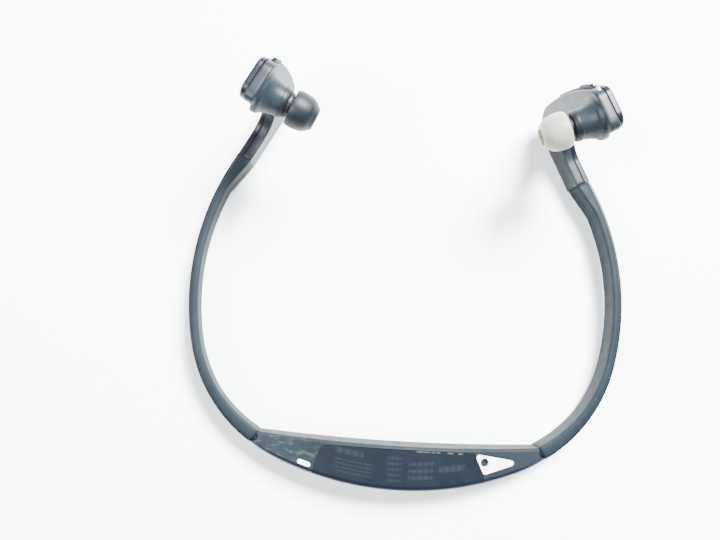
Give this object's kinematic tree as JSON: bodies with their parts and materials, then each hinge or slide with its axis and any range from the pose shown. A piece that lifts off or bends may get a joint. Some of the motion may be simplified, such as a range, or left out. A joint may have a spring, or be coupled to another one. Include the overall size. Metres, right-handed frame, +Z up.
{
  "type": "wireless neckband earphones",
  "caption": "Neckband earphones: curved back section with jack and controls, springy arms, upright earpieces with silicone tips that point inwards.",
  "frame": {"origin": "centre of the footprint's bounding box, on the surface the band rests on", "axes": "+Z up from the resting surface, +Y from the back section towards the earpieces, +X towards the arm with the light window and the milky ear tip"},
  "size_m": [0.1468, 0.1348, 0.05],
  "materials": {
    "grey_rubber": "matte, lightly scuffed",
    "soft_touch_grey": "matte soft-touch coating, lightly scuffed",
    "navy_shell": "satin to gloss, very dark navy",
    "navy_label": "satin, dark navy with faint grey printed bars",
    "silver_trim": "satin silver paint",
    "grey_satin": "satin grey",
    "black_plastic": "satin black",
    "milky_silicone": "milky translucent silicone",
    "black_silicone": "smooth black silicone",
    "spring_steel": "bare steel",
    "steel_mesh": "bare steel",
    "circuit_board": "solder-masked board",
    "foam": "closed-cell foam tape",
    "battery_foil": "pouch foil",
    "clear_plastic": "frosted clear"
  },
  "bodies": {
    "back": {"back_outer_shell": "navy_shell", "back_inner_shell": "soft_touch_grey", "label_cover": "navy_label", "jack_bezel": "silver_trim", "charge_jack": "black_plastic", "jack_pin": "spring_steel", "power_switch": "black_plastic", "inner_plug": "soft_touch_grey", "shell_screws": "spring_steel", "main_board": "circuit_board", "shield_can": "spring_steel", "battery_pad": "foam", "battery_cell": "battery_foil"},
    "power_key": {"power_key": "silver_trim"},
    "arm_right": {"arm_sleeve_right": "grey_rubber", "arm_strip_right": "navy_shell", "arm_core_right": "spring_steel", "arm_cable_right": "black_plastic", "ear_cap_right": "navy_shell", "ear_housing_right": "grey_satin", "nozzle_right": "black_plastic", "nozzle_mesh_right": "steel_mesh", "driver_right": "steel_mesh", "key_board_right": "circuit_board", "main_switch_right": "black_plastic", "edge_switches_right": "black_plastic", "light_window": "clear_plastic"},
    "main_key_right": {"main_key_right": "navy_shell"},
    "edge_key_right": {"edge_key_right": "black_plastic"},
    "ear_tip_right": {"ear_tip_right": "milky_silicone"},
    "arm_left": {"arm_sleeve_left": "grey_rubber", "arm_strip_left": "navy_shell", "arm_core_left": "spring_steel", "arm_cable_left": "black_plastic", "ear_cap_left": "navy_shell", "ear_housing_left": "grey_satin", "nozzle_left": "black_plastic", "nozzle_mesh_left": "steel_mesh", "driver_left": "steel_mesh", "key_board_left": "circuit_board", "main_switch_left": "black_plastic", "edge_switches_left": "black_plastic", "microphone": "spring_steel"},
    "main_key_left": {"main_key_left": "navy_shell"},
    "edge_key_left": {"edge_key_left": "black_plastic"},
    "ear_tip_left": {"ear_tip_left": "black_silicone"}
  },
  "joints": [
    {"name": "power_key_press", "type": "slide", "parent": "back", "child": "power_key", "axis": [0, 0, -1], "range_m": [0, 0.0003], "stiffness_N_per_m": 500},
    {"name": "arm_flex_right", "type": "hinge", "parent": "back", "child": "arm_right", "pos_m": [0.04852, -0.05281, 0.005], "axis": [0, 0, -1], "range_deg": [-4, 12], "stiffness_Nm_per_rad": 0.57},
    {"name": "main_key_press_right", "type": "slide", "parent": "arm_right", "child": "main_key_right", "axis": [-0.8869, -0.4619, 0], "range_m": [0, 0.0003], "stiffness_N_per_m": 500},
    {"name": "edge_key_rock_right", "type": "hinge", "parent": "arm_right", "child": "edge_key_right", "pos_m": [0.04719, 0.06282, 0.03489], "axis": [0.8869, 0.4619, 0], "range_deg": [-1.5, 1.5], "stiffness_Nm_per_rad": 0.02},
    {"name": "ear_tip_pull_right", "type": "slide", "parent": "arm_right", "child": "ear_tip_right", "axis": [-0.9148, -0.3791, -0.1392], "range_m": [0, 0.007]},
    {"name": "arm_flex_left", "type": "hinge", "parent": "back", "child": "arm_left", "pos_m": [-0.04852, -0.05281, 0.005], "axis": [0, 0, 1], "range_deg": [-4, 12], "stiffness_Nm_per_rad": 0.57},
    {"name": "main_key_press_left", "type": "slide", "parent": "arm_left", "child": "main_key_left", "axis": [0.8869, -0.4619, 0], "range_m": [0, 0.0003], "stiffness_N_per_m": 500},
    {"name": "edge_key_rock_left", "type": "hinge", "parent": "arm_left", "child": "edge_key_left", "pos_m": [-0.04719, 0.06282, 0.03489], "axis": [-0.8869, 0.4619, 0], "range_deg": [-1.5, 1.5], "stiffness_Nm_per_rad": 0.02},
    {"name": "ear_tip_pull_left", "type": "slide", "parent": "arm_left", "child": "ear_tip_left", "axis": [0.9148, -0.3791, -0.1392], "range_m": [0, 0.007]}
  ]
}
